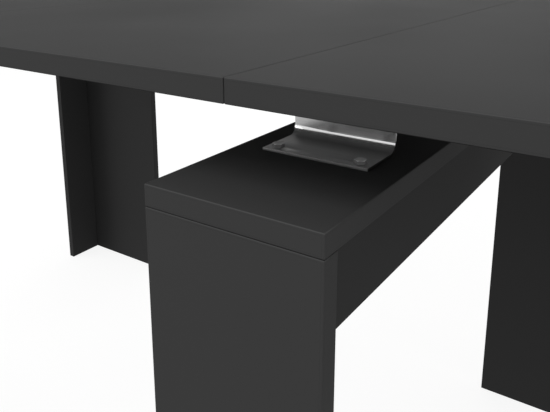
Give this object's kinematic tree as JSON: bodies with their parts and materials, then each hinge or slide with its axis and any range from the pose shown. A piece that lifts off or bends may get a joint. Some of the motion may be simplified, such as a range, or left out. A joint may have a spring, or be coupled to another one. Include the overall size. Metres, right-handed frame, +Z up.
{
  "type": "extendable console table",
  "caption": "Opened console table: loose leaves on telescopic bars between sliding end sections on corner legs, with a portal frame and bent brackets carrying the middle.",
  "frame": {"origin": "on the floor, under the middle of the table top", "axes": "+Z up, +X along the table's length in the direction that the right end section slides out, -Y towards the front long side"},
  "size_m": [2.38, 0.886, 0.775],
  "materials": {
    "melamine": "matt anthracite melamine on board",
    "bent_steel": "satin",
    "zinc_bolt": "zinc plated",
    "aluminium": "extruded, satin",
    "nylon": "matt",
    "beech": "planed"
  },
  "bodies": {
    "middle_frame": {"front_middle_leg": "melamine", "rear_middle_leg": "melamine", "middle_cap": "melamine", "left_apron": "melamine", "right_apron": "melamine", "front_bracket": "bent_steel", "rear_bracket": "bent_steel", "front_left_bracket_bolt": "zinc_bolt", "front_right_bracket_bolt": "zinc_bolt", "rear_left_bracket_bolt": "zinc_bolt", "rear_right_bracket_bolt": "zinc_bolt", "front_centre_bar": "aluminium", "rear_centre_bar": "aluminium", "front_centre_left_strip": "nylon", "front_centre_right_strip": "nylon", "rear_centre_left_strip": "nylon", "rear_centre_right_strip": "nylon"},
    "left_stage_1": {"left_stage_1_front_bar": "aluminium", "left_stage_1_rear_bar": "aluminium", "left_stage_1_front_strip": "nylon", "left_stage_1_rear_strip": "nylon"},
    "left_stage_2": {"left_stage_2_front_bar": "aluminium", "left_stage_2_rear_bar": "aluminium", "left_stage_2_front_strip": "nylon", "left_stage_2_rear_strip": "nylon"},
    "left_end": {"left_end_top": "melamine", "left_front_leg_panel": "melamine", "left_front_leg_fin": "melamine", "left_rear_leg_panel": "melamine", "left_rear_leg_fin": "melamine", "left_end_apron": "melamine", "left_front_end_bar": "aluminium", "left_rear_end_bar": "aluminium"},
    "right_stage_1": {"right_stage_1_front_bar": "aluminium", "right_stage_1_rear_bar": "aluminium", "right_stage_1_front_strip": "nylon", "right_stage_1_rear_strip": "nylon"},
    "right_stage_2": {"right_stage_2_front_bar": "aluminium", "right_stage_2_rear_bar": "aluminium", "right_stage_2_front_strip": "nylon", "right_stage_2_rear_strip": "nylon"},
    "right_end": {"right_end_top": "melamine", "right_front_leg_panel": "melamine", "right_front_leg_fin": "melamine", "right_rear_leg_panel": "melamine", "right_rear_leg_fin": "melamine", "right_end_apron": "melamine", "right_front_end_bar": "aluminium", "right_rear_end_bar": "aluminium"},
    "left_outer_leaf_body": {"left_outer_leaf": "melamine", "left_outer_leaf_batten": "beech"},
    "left_inner_leaf_body": {"left_inner_leaf": "melamine", "left_inner_leaf_batten": "beech"},
    "right_inner_leaf_body": {"right_inner_leaf": "melamine", "right_inner_leaf_batten": "beech"},
    "right_outer_leaf_body": {"right_outer_leaf": "melamine", "right_outer_leaf_batten": "beech"}
  },
  "joints": [
    {"name": "left_end_slide", "type": "slide", "parent": "middle_frame", "child": "left_end", "axis": [-1, 0, 0], "range_m": [0, 0.435]},
    {"name": "left_stage_1_slide", "type": "slide", "parent": "middle_frame", "child": "left_stage_1", "axis": [-1, 0, 0], "range_m": [0, 0.145]},
    {"name": "left_stage_2_slide", "type": "slide", "parent": "middle_frame", "child": "left_stage_2", "axis": [-1, 0, 0], "range_m": [0, 0.29]},
    {"name": "right_end_slide", "type": "slide", "parent": "middle_frame", "child": "right_end", "axis": [1, 0, 0], "range_m": [0, 0.435]},
    {"name": "right_stage_1_slide", "type": "slide", "parent": "middle_frame", "child": "right_stage_1", "axis": [1, 0, 0], "range_m": [0, 0.145]},
    {"name": "right_stage_2_slide", "type": "slide", "parent": "middle_frame", "child": "right_stage_2", "axis": [1, 0, 0], "range_m": [0, 0.29]},
    {"name": "left_outer_leaf_lift", "type": "slide", "parent": "middle_frame", "child": "left_outer_leaf_body", "axis": [0, 0, 1], "range_m": [0, 0.25]},
    {"name": "left_inner_leaf_lift", "type": "slide", "parent": "middle_frame", "child": "left_inner_leaf_body", "axis": [0, 0, 1], "range_m": [0, 0.25]},
    {"name": "right_inner_leaf_lift", "type": "slide", "parent": "middle_frame", "child": "right_inner_leaf_body", "axis": [0, 0, 1], "range_m": [0, 0.25]},
    {"name": "right_outer_leaf_lift", "type": "slide", "parent": "middle_frame", "child": "right_outer_leaf_body", "axis": [0, 0, 1], "range_m": [0, 0.25]}
  ],
  "couplings": [
    {"joint": "left_stage_1_slide", "follows": "left_end_slide", "ratio": 0.33333},
    {"joint": "left_stage_2_slide", "follows": "left_end_slide", "ratio": 0.66667},
    {"joint": "right_stage_1_slide", "follows": "right_end_slide", "ratio": 0.33333},
    {"joint": "right_stage_2_slide", "follows": "right_end_slide", "ratio": 0.66667}
  ]
}
